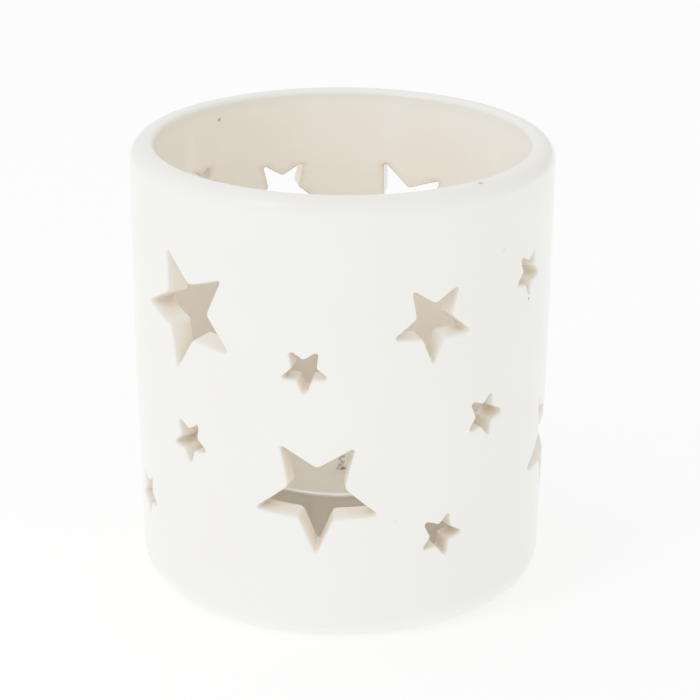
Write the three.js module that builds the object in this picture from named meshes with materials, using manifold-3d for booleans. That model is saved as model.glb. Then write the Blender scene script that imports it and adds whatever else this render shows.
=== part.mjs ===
// A white glazed ceramic tealight holder pierced with stars, and the tealight that stands in it.
//
// Units are millimetres and +Z is up. The origin is the middle of the face that the holder stands
// on, and the front faces -Y. The holder is one piece of fired clay: a floor on a low foot ring and
// a slightly flared wall with a rounded rim. Star cutters of three sizes are pushed through the wall
// towards the axis while the clay is soft. The tealight is loose: an aluminium cup of wax, with a
// wick held in the middle by a small metal sustainer.

import * as THREE from 'three';
import { mergeVertices } from 'three/addons/utils/BufferGeometryUtils.js';
import Module from 'manifold-3d';

const wasm = await Module();
wasm.setup();

// ---- Driving dimensions: ceramic holder ------------------------------------------------------

const HEIGHT = 80;
const RADIUS = 37.15; // outside of the wall, under the rim's rounding
const FLARE = 1.6; // how much less the outside radius is above the bottom corner
const SIDE_BULGE = 0.22; // swell of the side beyond a straight taper, at its middle
const WALL = 4.26;
const FLOOR = 4.6;
const RIM_OUTER_ROUND = 2.8;
const RIM_INNER_ROUND = 0.9;
const CORNER_ROUND = 5.7; // bottom corner, outside
const FLOOR_ROUND = 4; // where the wall meets the floor, inside
const FOOT_WIDTH = 3.4; // flat of the foot ring
const FOOT_RISE = 0.7; // depth of the recess inside the foot ring

// ---- Driving dimensions: star cutters --------------------------------------------------------

const LARGE = { tip: 11.2, notch: 5.05, tipRound: 0.4, notchRound: 1.2 };
const MEDIUM = { tip: 7.7, notch: 3.45, tipRound: 0.4, notchRound: 0.9 };
const SMALL = { tip: 4.65, notch: 2.1, tipRound: 0.45, notchRound: 0.6 };
const STAR_POINTS = 5;
const CUTTER_OVERRUN = 3; // how far a cutter reaches past each face of the wall
const CUT_TAPER = 0.87; // a cut's size on the inside of the wall, as a share of the outside
const CUT_FACE_SHARE = 0.6; // how far out along a point the outline has its full size

// Each star is [cutter, degrees round from the front towards +X, share of the height, degrees that
// one point is turned anticlockwise from the right]. At 54 degrees one point is straight down.
const STARS = [
  [LARGE, -46.3, 0.711, 41.6],
  [SMALL, -9.9, 0.625, 55.6],
  [SMALL, -46.0, 0.418, 56.5],
  [SMALL, -71.1, 0.23, 56],
  [LARGE, -6.7, 0.344, 53.2],
  [MEDIUM, 25.1, 0.721, 52.7],
  [SMALL, 42.4, 0.488, 68.2],
  [SMALL, 28.7, 0.234, 68.6],
  [SMALL, 60, 0.773, 57.5],
  [LARGE, 81.5, 0.345, 53],
  [SMALL, 112, 0.45, 60],
  [MEDIUM, 118, 0.7, 47],
  [SMALL, 150, 0.213, 66],
  [LARGE, 159.6, 0.72, 66],
  [SMALL, 173, 0.45, 50],
  [SMALL, 195, 0.54, 70],
  [MEDIUM, 199.5, 0.762, 54],
  [LARGE, 215, 0.306, 45],
  [SMALL, 231.2, 0.814, 54],
  [SMALL, 257, 0.3, 62],
  [SMALL, 257, 0.775, 49],
];

// ---- Driving dimensions: tealight ------------------------------------------------------------

const CUP_RADIUS = 18.7; // outside of the cup's wall
const CUP_HEIGHT = 15.5;
const CUP_WALL = 0.3;
const CUP_CORNER_ROUND = 1.2;
const CUP_BEAD = 0.45; // radius of the rolled lip
const WAX_DEPTH = 12.2;
const WAX_EDGE = 0.5; // chamfer round the top of the wax
const WICK_RADIUS = 0.75;
const WICK_STANDS = 7; // length of wick above the wax
const SUSTAINER_RADIUS = 6.4;
const SUSTAINER_PLATE = 0.4;
const SUSTAINER_NECK = 0.5; // wall of the crimped neck
const SUSTAINER_HEIGHT = 4.2;
const FIT_GAP = 0.3; // between one piece and the next

// ---- Facets ----------------------------------------------------------------------------------

const HOLDER_FACETS = 60;
const CUP_FACETS = 36;
const SUSTAINER_FACETS = 24;
const WICK_FACETS = 12;
const ARC_STEPS = 4; // steps in a quarter turn of a profile
const SIDE_STEPS = 3; // steps up the side of the wall
const STAR_ARC_STEPS = 2; // steps round each point and notch of a star

const degrees = THREE.MathUtils.degToRad;

// ---- Geometry helpers ------------------------------------------------------------------------

/** Points of an arc in the profile plane, from one angle to another, in degrees. */
function arc(centreR, centreZ, radius, from, to) {
  const points = [];
  for (let i = 0; i <= ARC_STEPS; i += 1) {
    const angle = degrees(from + ((to - from) * i) / ARC_STEPS);
    const r = centreR + radius * Math.cos(angle);
    const z = centreZ + radius * Math.sin(angle);
    points.push(new THREE.Vector2(r, z));
  }
  return points;
}

/** A geometry with its shared vertices merged and its collapsed triangles left out. */
function weld(geometry) {
  const bare = geometry.clone();
  bare.deleteAttribute('normal');
  bare.deleteAttribute('uv');
  const merged = mergeVertices(bare, 1e-4);
  const index = merged.getIndex().array;
  const kept = [];
  for (let i = 0; i < index.length; i += 3) {
    const [a, b, c] = index.slice(i, i + 3);
    if (a !== b && b !== c && c !== a) kept.push(a, b, c);
  }
  merged.setIndex(kept);
  merged.computeVertexNormals();
  return merged;
}

/** Turns a profile of (radius, height) points about the Z axis. */
function turned(profile, facets) {
  const geometry = new THREE.LatheGeometry(profile, facets);
  geometry.rotateX(Math.PI / 2);
  return weld(geometry);
}

/** The manifold solid that a closed geometry bounds. */
function solidOf(geometry) {
  const vertProperties = Float32Array.from(geometry.getAttribute('position').array);
  const triVerts = Uint32Array.from(geometry.getIndex().array);
  return new wasm.Manifold(new wasm.Mesh({ numProp: 3, vertProperties, triVerts }));
}

/** The geometry of a manifold solid. */
function geometryOf(solid) {
  const mesh = solid.getMesh();
  const geometry = new THREE.BufferGeometry();
  geometry.setAttribute('position', new THREE.BufferAttribute(mesh.vertProperties, 3));
  geometry.setIndex(new THREE.BufferAttribute(mesh.triVerts, 1));
  geometry.computeVertexNormals();
  return geometry;
}

/** A named mesh of one material. */
function piece(name, geometry, material) {
  const mesh = new THREE.Mesh(geometry, material);
  mesh.name = name;
  return mesh;
}

// ---- Ceramic holder --------------------------------------------------------------------------

const footRadius = RADIUS - FLARE;
const floorTop = FOOT_RISE + FLOOR;
const sideTop = HEIGHT - RIM_OUTER_ROUND;

/** Outside radius of the wall at a height: a straight flare with a parabolic swell. */
function outsideRadius(z) {
  const share = (z - CORNER_ROUND) / (sideTop - CORNER_ROUND);
  const straight = footRadius + FLARE * share;
  return straight + SIDE_BULGE * 4 * share * (1 - share);
}

/** Points up the side of the wall, moved inwards by an inset. */
function side(bottom, top, inset) {
  const points = [];
  for (let i = 0; i <= SIDE_STEPS; i += 1) {
    const z = bottom + ((top - bottom) * i) / SIDE_STEPS;
    points.push(new THREE.Vector2(outsideRadius(z) - inset, z));
  }
  return points;
}

/** The holder's section, from the middle of its underside round to the middle of its floor. */
function holderProfile() {
  const footOuter = footRadius - CORNER_ROUND;
  const footInner = footOuter - FOOT_WIDTH;
  const insideTop = HEIGHT - RIM_INNER_ROUND;
  const insideBottom = floorTop + FLOOR_ROUND;
  const insideTopRadius = RADIUS - WALL;
  const insideBottomRadius = outsideRadius(insideBottom) - WALL;
  return [
    new THREE.Vector2(0, FOOT_RISE),
    new THREE.Vector2(footInner - FOOT_RISE, FOOT_RISE),
    new THREE.Vector2(footInner, 0),
    ...arc(footOuter, CORNER_ROUND, CORNER_ROUND, -90, 0),
    ...side(CORNER_ROUND, sideTop, 0).slice(1, -1),
    ...arc(RADIUS - RIM_OUTER_ROUND, sideTop, RIM_OUTER_ROUND, 0, 90),
    ...arc(insideTopRadius + RIM_INNER_ROUND, insideTop, RIM_INNER_ROUND, 90, 180),
    ...side(insideBottom, sideTop, WALL).slice(1, -1).reverse(),
    ...arc(insideBottomRadius - FLOOR_ROUND, insideBottom, FLOOR_ROUND, 0, -90),
    new THREE.Vector2(0, floorTop),
  ];
}

/** Outline of a star cutter: points and notches in turn, each rounded by its own radius. */
function starOutline(cutter) {
  const corners = [];
  for (let i = 0; i < 2 * STAR_POINTS; i += 1) {
    const isTip = i % 2 === 0;
    const angle = (Math.PI * i) / STAR_POINTS;
    const reach = isTip ? cutter.tip : cutter.notch;
    const at = new THREE.Vector2(reach * Math.cos(angle), reach * Math.sin(angle));
    corners.push({ at, round: isTip ? cutter.tipRound : cutter.notchRound });
  }
  const outline = [];
  corners.forEach(({ at, round }, i) => {
    const before = corners.at(i - 1).at.clone().sub(at).normalize();
    const after = corners[(i + 1) % corners.length].at.clone().sub(at).normalize();
    const halfAngle = Math.acos(THREE.MathUtils.clamp(before.dot(after), -1, 1)) / 2;
    const inward = before.clone().add(after).normalize();
    const centre = at.clone().addScaledVector(inward, round / Math.sin(halfAngle));
    const start = at.clone().addScaledVector(before, round / Math.tan(halfAngle)).sub(centre);
    const end = at.clone().addScaledVector(after, round / Math.tan(halfAngle)).sub(centre);
    const sweep = Math.atan2(start.cross(end), start.dot(end));
    for (let k = 0; k <= STAR_ARC_STEPS; k += 1) {
      const turn = (sweep * k) / STAR_ARC_STEPS;
      outline.push(start.clone().rotateAround(new THREE.Vector2(), turn).add(centre));
    }
  });
  return outline;
}

/** Scales a prism about its own axis: full size at the wall's outer face, less further in. */
function narrowInwards(prism, face) {
  const at = prism.getAttribute('position');
  for (let i = 0; i < at.count; i += 1) {
    const scale = 1 - ((1 - CUT_TAPER) * (face - at.getZ(i))) / WALL;
    at.setXY(i, at.getX(i) * scale, at.getY(i) * scale);
  }
}

/** The solid that one star cutter removes: its outline carried through the wall, narrowing. */
function starCut([cutter, azimuth, share, turn]) {
  const narrowest = footRadius - WALL;
  const start = Math.sqrt(narrowest ** 2 - cutter.tip ** 2) - CUTTER_OVERRUN;
  const end = RADIUS + CUTTER_OVERRUN;
  const shape = new THREE.Shape(starOutline(cutter));
  const prism = new THREE.ExtrudeGeometry(shape, { depth: end - start, bevelEnabled: false });
  prism.rotateZ(degrees(turn));
  prism.translate(0, 0, start);
  const face = Math.sqrt(outsideRadius(HEIGHT * share) ** 2 - (CUT_FACE_SHARE * cutter.tip) ** 2);
  narrowInwards(prism, face);
  const around = degrees(azimuth);
  const right = new THREE.Vector3(Math.cos(around), Math.sin(around), 0);
  const outward = new THREE.Vector3(Math.sin(around), -Math.cos(around), 0);
  const frame = new THREE.Matrix4().makeBasis(right, new THREE.Vector3(0, 0, 1), outward);
  prism.applyMatrix4(frame.setPosition(0, 0, HEIGHT * share));
  return solidOf(weld(prism));
}

/** The fired clay body: the turned form with every star cut through its wall. */
function ceramicBody() {
  let body = solidOf(turned(holderProfile(), HOLDER_FACETS));
  for (const star of STARS) body = body.subtract(starCut(star));
  return piece('ceramic_body', geometryOf(body), glazedCeramic());
}

// ---- Tealight, from the underside of its cup -------------------------------------------------

const waxBottom = CUP_WALL + FIT_GAP;
const waxTop = waxBottom + WAX_DEPTH;
const boreRadius = WICK_RADIUS + FIT_GAP;
const neckRadius = boreRadius + SUSTAINER_NECK;
const plateBottom = waxBottom;
const plateTop = plateBottom + SUSTAINER_PLATE;
const neckTop = plateBottom + SUSTAINER_HEIGHT;

/** Thin drawn cup with a rounded bottom edge and a rolled lip. */
function tealightCup() {
  const insideRadius = CUP_RADIUS - CUP_WALL;
  const insideRound = CUP_CORNER_ROUND - CUP_WALL;
  const lip = CUP_HEIGHT - CUP_BEAD;
  const profile = [
    new THREE.Vector2(0, 0),
    ...arc(CUP_RADIUS - CUP_CORNER_ROUND, CUP_CORNER_ROUND, CUP_CORNER_ROUND, -90, 0),
    ...arc(insideRadius + CUP_BEAD, lip, CUP_BEAD, -70, 180),
    ...arc(insideRadius - insideRound, CUP_CORNER_ROUND, insideRound, 0, -90),
    new THREE.Vector2(0, CUP_WALL),
  ];
  return piece('tealight_cup', turned(profile, CUP_FACETS), aluminium());
}

/** Wax poured round the sustainer and wick, with a pocket and a bore that clear them. */
function tealightWax() {
  const radius = CUP_RADIUS - CUP_WALL - FIT_GAP;
  const pocketRadius = SUSTAINER_RADIUS + FIT_GAP;
  const pocketTop = plateTop + FIT_GAP;
  const profile = [
    new THREE.Vector2(pocketRadius, waxBottom),
    new THREE.Vector2(radius - CUP_CORNER_ROUND, waxBottom),
    new THREE.Vector2(radius, waxBottom + CUP_CORNER_ROUND),
    new THREE.Vector2(radius, waxTop - WAX_EDGE),
    new THREE.Vector2(radius - WAX_EDGE, waxTop),
    new THREE.Vector2(boreRadius, waxTop),
    new THREE.Vector2(boreRadius, neckTop + FIT_GAP),
    new THREE.Vector2(neckRadius + FIT_GAP, neckTop + FIT_GAP),
    new THREE.Vector2(neckRadius + FIT_GAP, pocketTop),
    new THREE.Vector2(pocketRadius, pocketTop),
    new THREE.Vector2(pocketRadius, waxBottom),
  ];
  return piece('tealight_wax', turned(profile, CUP_FACETS), paraffin());
}

/** Round braided wick, from the cup's floor up through the neck to its free end. */
function tealightWick() {
  const profile = [
    new THREE.Vector2(0, plateBottom),
    new THREE.Vector2(WICK_RADIUS, plateBottom),
    new THREE.Vector2(WICK_RADIUS, waxTop + WICK_STANDS),
    new THREE.Vector2(0, waxTop + WICK_STANDS),
  ];
  return piece('wick', turned(profile, WICK_FACETS), cotton());
}

/** Round plate with a crimped neck that keeps the wick upright. */
function wickSustainer() {
  const profile = [
    new THREE.Vector2(boreRadius, plateBottom),
    new THREE.Vector2(SUSTAINER_RADIUS, plateBottom),
    new THREE.Vector2(SUSTAINER_RADIUS, plateTop),
    new THREE.Vector2(neckRadius, plateTop),
    new THREE.Vector2(neckRadius, neckTop),
    new THREE.Vector2(boreRadius, neckTop),
    new THREE.Vector2(boreRadius, plateBottom),
  ];
  return piece('wick_sustainer', turned(profile, SUSTAINER_FACETS), tinnedSteel());
}

// ---- Materials -------------------------------------------------------------------------------

function glazedCeramic() {
  return new THREE.MeshStandardMaterial({ color: 0xefeeea, roughness: 0.15, metalness: 0 });
}

function aluminium() {
  return new THREE.MeshStandardMaterial({ color: 0xc9cacc, roughness: 0.3, metalness: 1 });
}

function paraffin() {
  return new THREE.MeshStandardMaterial({ color: 0xf1ebdc, roughness: 0.45, metalness: 0 });
}

function cotton() {
  return new THREE.MeshStandardMaterial({ color: 0xefe9da, roughness: 0.95, metalness: 0 });
}

function tinnedSteel() {
  return new THREE.MeshStandardMaterial({ color: 0xb4b6b8, roughness: 0.4, metalness: 1 });
}

// ---- Assembly --------------------------------------------------------------------------------

const holder = new THREE.Group();
holder.add(ceramicBody());

const tealight = new THREE.Group();
tealight.add(tealightCup(), tealightWax(), tealightWick(), wickSustainer());
tealight.position.z = floorTop + FIT_GAP;

const model = new THREE.Group();
model.add(holder, tealight);

export default model;
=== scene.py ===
"""Looks of a star-pierced ceramic tealight holder and the tealight that stands in it.

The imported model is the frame: its box gives the overall height and radius, and every piece made
here rides on one of its bodies. Sizes in the classes are millimetres, angles are degrees, and the
meshes are written in metres. An azimuth is counted from the front (-Y) towards +X.
"""

import logging
import math
from dataclasses import dataclass
from enum import Enum

import bpy
import numpy as np
from mathutils import Matrix, Vector, geometry
from numpy.typing import NDArray


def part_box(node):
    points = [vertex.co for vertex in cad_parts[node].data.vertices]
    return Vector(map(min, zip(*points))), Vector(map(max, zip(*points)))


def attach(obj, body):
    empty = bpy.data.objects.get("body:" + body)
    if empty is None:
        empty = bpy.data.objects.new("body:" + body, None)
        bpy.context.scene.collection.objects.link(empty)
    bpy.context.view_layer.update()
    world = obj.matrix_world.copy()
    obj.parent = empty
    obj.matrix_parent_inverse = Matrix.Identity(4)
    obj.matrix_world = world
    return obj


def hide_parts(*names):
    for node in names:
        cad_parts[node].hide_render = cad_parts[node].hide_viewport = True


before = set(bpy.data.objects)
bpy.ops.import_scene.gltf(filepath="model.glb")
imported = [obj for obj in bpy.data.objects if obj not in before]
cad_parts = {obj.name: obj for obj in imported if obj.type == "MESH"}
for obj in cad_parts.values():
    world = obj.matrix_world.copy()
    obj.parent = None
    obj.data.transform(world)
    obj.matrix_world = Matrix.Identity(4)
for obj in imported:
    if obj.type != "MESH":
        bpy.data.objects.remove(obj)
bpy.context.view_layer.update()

Array = NDArray[np.float64]
Index = NDArray[np.int64]
Socket = bpy.types.NodeSocket
Colour = tuple[float, float, float]

MM = 0.001
TAU = 2 * math.pi
log = logging.getLogger("tealight_holder")


# ---- Surfaces --------------------------------------------------------------------------------


def unit(vectors: Array) -> Array:
    """Vectors divided by their own lengths.

    Args:
        vectors: Any array whose last axis holds components.

    Returns:
        The same array with every vector at length one.
    """
    return vectors / np.maximum(np.linalg.norm(vectors, axis=-1, keepdims=True), 1e-12)


def radial(azimuth: Array) -> Array:
    """Outward unit vectors (sine, minus cosine, zero) of azimuths in radians."""
    return np.stack([np.sin(azimuth), -np.cos(azimuth), np.zeros_like(azimuth)], axis=-1)


def arc(middle: tuple[float, float], radius: float, start: float, end: float, steps: int) -> Array:
    """Points of a circle's arc in the (radius, height) plane.

    Args:
        middle: Centre of the circle.
        radius: Its radius.
        start: First angle in degrees, from the outward direction towards up.
        end: Last angle in degrees.
        steps: How many equal steps to take.

    Returns:
        Array of steps + 1 points: the centre plus radius times (cosine, sine).
    """
    angle = np.radians(np.linspace(start, end, steps + 1))
    return np.array(middle) + radius * np.stack([np.cos(angle), np.sin(angle)], axis=-1)


def revolve(profile: Array, columns: int, start: float = 0.0) -> tuple[Array, Array]:
    """Carries a profile round the Z axis.

    A point is its profile radius times the outward vector, plus its height. A normal is the
    profile's tangent turned a quarter clockwise, carried round the same way.

    Args:
        profile: Rows of (radius, height), going up on the outside of the body.
        columns: How many equal steps to take round the axis.
        start: Azimuth of the first column, in degrees.

    Returns:
        Points and normals, each as an array of (rows, columns, 3).
    """
    azimuth = np.radians(start) + TAU * np.arange(columns) / columns
    outward = radial(azimuth)[None]
    upward = np.array([0.0, 0.0, 1.0])
    tangent = np.gradient(profile, axis=0)
    points = profile[:, :1, None] * outward + profile[:, 1:, None] * upward
    normals = tangent[:, 1:, None] * outward - tangent[:, :1, None] * upward
    return points, unit(normals)


class Shell:
    """A surface gathered from grids of points that share their border points."""

    def __init__(self, *marks: str) -> None:
        """Starts an empty surface whose points carry the named marks."""
        self.points: list[Array] = []
        self.normals: list[Array] = []
        self.faces: list[Index] = []
        self.marks: dict[str, list[Array]] = {name: [] for name in marks}
        self.count = 0

    def add_points(self, points: Array, normals: Array, **marks: float | Array) -> Index:
        """Adds points to the surface.

        Args:
            points: Positions, in any grid shape.
            normals: Unit normals in the same shape.
            **marks: Value of each mark, one for all points or an array of the grid's shape.

        Returns:
            The new points' numbers, in the grid's shape.
        """
        shape = points.shape[:-1]
        numbers = np.arange(self.count, self.count + math.prod(shape)).reshape(shape)
        self.points.append(points.reshape(-1, 3))
        self.normals.append(normals.reshape(-1, 3))
        for name, kept in self.marks.items():
            kept.append(np.broadcast_to(marks.get(name, 0.0), shape).ravel())
        self.count += numbers.size
        return numbers

    def add_grid(self, numbers: Index, around: bool = True, along: bool = False) -> None:
        """Joins a grid of point numbers with four-sided faces.

        Args:
            numbers: Point numbers as (rows, columns).
            around: Whether the last column joins the first.
            along: Whether the last row joins the first.
        """
        grid = np.concatenate([numbers, numbers[:, :1]], axis=1) if around else numbers
        grid = np.concatenate([grid, grid[:1]], axis=0) if along else grid
        corners = [grid[:-1, :-1], grid[:-1, 1:], grid[1:, 1:], grid[1:, :-1]]
        self.faces.append(np.stack(corners, axis=-1).reshape(-1, 4))

    def add_pole(self, ring: Index, height: float, up: bool, **marks: float) -> None:
        """Closes a ring with a fan of triangles to one point on the axis.

        Args:
            ring: Numbers of the ring's points.
            height: Height of the point on the axis.
            up: Whether the closed end faces up.
            **marks: The marks of the point on the axis.
        """
        at = np.array([[0.0, 0.0, height]])
        normal = np.array([[0.0, 0.0, 1.0 if up else -1.0]])
        pole = np.broadcast_to(self.add_points(at, normal, **marks), ring.shape)
        after = np.roll(ring, -1)
        corners = [ring, after, pole] if up else [pole, after, ring]
        self.faces.append(np.stack(corners, axis=-1))

    def all_points(self) -> Array:
        """Every point of the surface so far, as one array."""
        return np.concatenate(self.points)

    def build(self, name: str, hand: "Handwork | None" = None) -> bpy.types.Object:
        """Writes the surface as a smooth mesh object in metres, at the origin.

        Args:
            name: The object's name.
            hand: Slow unevenness to work into the surface, if any.

        Returns:
            The new object, linked to the scene.
        """
        points, normals = self.all_points(), np.concatenate(self.normals)
        if hand is not None:
            points, normals = hand.shape(points, normals)
        faces = [row for block in self.faces for row in block.tolist()]
        mesh = bpy.data.meshes.new(name)
        mesh.from_pydata((points * MM).tolist(), [], faces)
        mesh.polygons.foreach_set("use_smooth", np.ones(len(faces), bool))
        for mark, values in self.marks.items():
            kept = mesh.attributes.new(mark, "FLOAT", "POINT")
            kept.data.foreach_set("value", np.concatenate(values).astype(np.float32))
        mesh.normals_split_custom_set_from_vertices(unit(normals).tolist())
        mesh.update()
        piece = bpy.data.objects.new(name, mesh)
        bpy.context.scene.collection.objects.link(piece)
        log.info("%s: %d points, %d faces", name, len(points), len(faces))
        return piece


@dataclass(frozen=True)
class Handwork:
    """Slow unevenness of hand-finished clay: a small inward push and a small sag of the rim."""

    height: float
    push: float = 0.1
    sag: float = 0.1

    def waves(self, azimuth: Array, rise: Array) -> tuple[Array, Array, Array]:
        """A sum of slow sine waves between 0 and 1, with its slopes.

        Args:
            azimuth: Azimuths in radians.
            rise: Heights as a share of the holder's height.

        Returns:
            The value, its slope by azimuth and its slope by rise.
        """
        turns = np.array([2.0, 3.0, 5.0, 7.0])
        swing = np.array([3.1, -4.3, 5.9, -8.3])
        phase = np.array([0.4, 1.9, 3.3, 5.2])
        share = np.array([0.4, 0.3, 0.18, 0.12])
        angle = azimuth[..., None] * turns + rise[..., None] * swing + phase
        value = 0.5 + 0.5 * np.sum(share * np.sin(angle), axis=-1)
        by_azimuth = 0.5 * np.sum(share * turns * np.cos(angle), axis=-1)
        by_rise = 0.5 * np.sum(share * swing * np.cos(angle), axis=-1)
        return value, by_azimuth, by_rise

    def shape(self, points: Array, normals: Array) -> tuple[Array, Array]:
        """Moves points inwards and down by the waves, and tips the normals to match.

        The inward push is the wave times a weight that starts at zero on the foot. The sag grows
        with the cube of the height. A displacement d along a fixed direction e turns a normal n
        into n plus the gradient of d times (e dot n).

        Args:
            points: Positions as (count, 3).
            normals: Unit normals as (count, 3).

        Returns:
            The moved points and their normals, not yet at length one.
        """
        azimuth = np.arctan2(points[:, 0], -points[:, 1])
        radius = np.hypot(points[:, 0], points[:, 1])
        rise = points[:, 2] / self.height
        outward = radial(azimuth)
        sideways = np.stack([np.cos(azimuth), np.sin(azimuth), np.zeros_like(azimuth)], axis=-1)
        upward = np.array([0.0, 0.0, 1.0])
        reach = np.clip(radius / radius.max(), 0, 1)
        weight = self.push * reach * np.clip(rise * 4, 0, 1)
        value, by_azimuth, by_rise = self.waves(azimuth, rise)
        slope = (weight * by_azimuth / np.maximum(radius, 1))[:, None] * sideways
        slope = slope + (weight * by_rise / self.height)[:, None] * upward
        facing = np.sum(normals * outward, axis=-1, keepdims=True)
        moved = points - (weight * value)[:, None] * outward
        tipped = normals + slope * facing
        drop, drop_slope, _ = self.waves(azimuth + 2.0, np.zeros_like(rise))
        lift = self.sag * np.clip(rise, 0, 1) ** 3
        slope = (lift * drop_slope / np.maximum(radius, 1))[:, None] * sideways
        tipped = tipped + slope * normals[:, 2:]
        moved = moved - (lift * drop)[:, None] * upward
        return moved, tipped


# ---- Star cuts -------------------------------------------------------------------------------


@dataclass(frozen=True)
class Cutter:
    """A five-pointed star cutter with rounded points and notches."""

    tip: float
    notch: float
    tip_round: float
    notch_round: float
    arc_steps: int
    edge_steps: int

    def outline(self) -> tuple[Array, Array]:
        """The cut's outline and its normals into the clay, anticlockwise from the first point.

        Each corner of the star is replaced by the arc that touches both its sides, and the
        straight sides between arcs are divided evenly.

        Returns:
            Points and unit normals as (count, 2).
        """
        order = np.arange(10)
        is_tip = order % 2 == 0
        angle = math.pi * order / 5
        reach = np.where(is_tip, self.tip, self.notch)
        rounding = np.where(is_tip, self.tip_round, self.notch_round)[:, None]
        at = reach[:, None] * np.stack([np.cos(angle), np.sin(angle)], axis=-1)
        before = unit(np.roll(at, 1, axis=0) - at)
        after = unit(np.roll(at, -1, axis=0) - at)
        half = np.arccos(np.sum(before * after, axis=-1, keepdims=True)) / 2
        middle = at + unit(before + after) * rounding / np.sin(half)
        start = at + before * rounding / np.tan(half) - middle
        end = at + after * rounding / np.tan(half) - middle
        cross = start[:, 0] * end[:, 1] - start[:, 1] * end[:, 0]
        sweep = np.arctan2(cross, np.sum(start * end, axis=-1))
        turn = sweep[:, None] * np.linspace(0, 1, self.arc_steps + 1)
        cosine, sine = np.cos(turn), np.sin(turn)
        x = start[:, :1] * cosine - start[:, 1:] * sine
        y = start[:, :1] * sine + start[:, 1:] * cosine
        spokes = np.stack([x, y], axis=-1)
        side = np.where(is_tip, 1.0, -1.0)[:, None, None]
        corners, into_clay = middle[:, None] + spokes, side * unit(spokes)
        share = np.arange(1, self.edge_steps)[None, :, None] / self.edge_steps
        following = np.roll(corners[:, :1], -1, axis=0)
        edges = corners[:, -1:] * (1 - share) + following * share
        edge_normals = np.broadcast_to(into_clay[:, -1:], edges.shape)
        points = np.concatenate([corners, edges], axis=1).reshape(-1, 2)
        normals = np.concatenate([into_clay, edge_normals], axis=1).reshape(-1, 2)
        return points, normals


class Cut(Enum):
    """The three cutters that pierced the wall."""

    LARGE = Cutter(11.2, 5.05, 0.4, 1.2, 6, 10)
    MEDIUM = Cutter(7.7, 3.45, 0.4, 0.9, 5, 7)
    SMALL = Cutter(4.65, 2.1, 0.45, 0.65, 4, 4)


@dataclass(frozen=True)
class StarHole:
    """One star cut: which cutter, where round and up the wall, and how far it is turned."""

    cut: Cut
    azimuth: float
    rise: float
    turn: float


STARS = (
    StarHole(Cut.LARGE, -46.3, 0.711, 41.6),
    StarHole(Cut.SMALL, -9.9, 0.625, 55.6),
    StarHole(Cut.SMALL, -46.0, 0.418, 56.5),
    StarHole(Cut.SMALL, -71.1, 0.23, 56),
    StarHole(Cut.LARGE, -6.7, 0.344, 53.2),
    StarHole(Cut.MEDIUM, 25.1, 0.721, 52.7),
    StarHole(Cut.SMALL, 42.4, 0.488, 68.2),
    StarHole(Cut.SMALL, 28.7, 0.234, 68.6),
    StarHole(Cut.SMALL, 60, 0.773, 57.5),
    StarHole(Cut.LARGE, 81.5, 0.345, 53),
    StarHole(Cut.SMALL, 112, 0.45, 60),
    StarHole(Cut.MEDIUM, 118, 0.7, 47),
    StarHole(Cut.SMALL, 150, 0.213, 66),
    StarHole(Cut.LARGE, 159.6, 0.72, 66),
    StarHole(Cut.SMALL, 173, 0.45, 50),
    StarHole(Cut.SMALL, 195, 0.54, 70),
    StarHole(Cut.MEDIUM, 199.5, 0.762, 54),
    StarHole(Cut.LARGE, 215, 0.306, 45),
    StarHole(Cut.SMALL, 231.2, 0.814, 54),
    StarHole(Cut.SMALL, 257, 0.3, 62),
    StarHole(Cut.SMALL, 257, 0.775, 49),
)


def is_inside(outline: Array, points: Array) -> NDArray[np.bool_]:
    """Even-odd test: whether a line to the right of each point crosses the outline oddly often.

    Args:
        outline: Corners of a closed outline, as (count, 2).
        points: Points to test, as (count, 2).

    Returns:
        True for each point inside.
    """
    ax, ay = outline.T
    bx, by = np.roll(outline, -1, axis=0).T
    x, y = points[:, :1], points[:, 1:]
    spans = (ay > y) != (by > y)
    rise = np.where(by == ay, 1.0, by - ay)
    crossing = ax + (y - ay) * (bx - ax) / rise
    return np.sum(spans & (x < crossing), axis=1) % 2 == 1


def clearance(outline: Array, points: Array) -> Array:
    """Distance from each point to the nearest side of a closed outline.

    Args:
        outline: Corners of the outline, as (count, 2).
        points: Points to measure from, as (count, 2).

    Returns:
        One distance for each point.
    """
    side = np.roll(outline, -1, axis=0) - outline
    offset = points[:, None] - outline
    share = np.sum(offset * side, axis=-1) / np.maximum(np.sum(side * side, axis=-1), 1e-12)
    nearest = offset - np.clip(share, 0, 1)[..., None] * side
    return np.min(np.linalg.norm(nearest, axis=-1), axis=1)


def fill_between(flat: Array, loops: list[Array], clockwise: bool) -> Index:
    """Triangulates points of a plane and leaves the loops open.

    A constrained Delaunay triangulation keeps each side of a loop as an edge, and the triangles
    whose centres lie in a loop are dropped.

    Args:
        flat: All the points as (count, 2), starting with those of the loops in their order.
        loops: The closed outlines to leave open.
        clockwise: Whether the triangles run clockwise.

    Returns:
        Each triangle's corners as numbers of points.
    """
    starts = np.cumsum([0] + [len(loop) for loop in loops])
    edges = [
        np.stack([first + np.arange(len(loop)), first + (np.arange(len(loop)) + 1) % len(loop)],
                 axis=-1)
        for first, loop in zip(starts[:-1], loops, strict=True)
    ]
    made = geometry.delaunay_2d_cdt(flat.tolist(), np.concatenate(edges).tolist(), [], 0, 1e-6)
    origin = np.array([given[0] for given in made[3]])
    triangles = origin[np.array(made[2])]
    centres = flat[triangles].mean(axis=1)
    solid = np.ones(len(triangles), bool)
    for loop in loops:
        solid &= ~is_inside(loop, centres)
    triangles = triangles[solid]
    a, b, c = flat[triangles].transpose(1, 0, 2)
    area = (b[:, 0] - a[:, 0]) * (c[:, 1] - a[:, 1]) - (b[:, 1] - a[:, 1]) * (c[:, 0] - a[:, 0])
    backwards = (area < 0) != clockwise
    triangles[backwards] = triangles[backwards][:, ::-1]
    return triangles


# ---- Ceramic holder --------------------------------------------------------------------------


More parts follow.
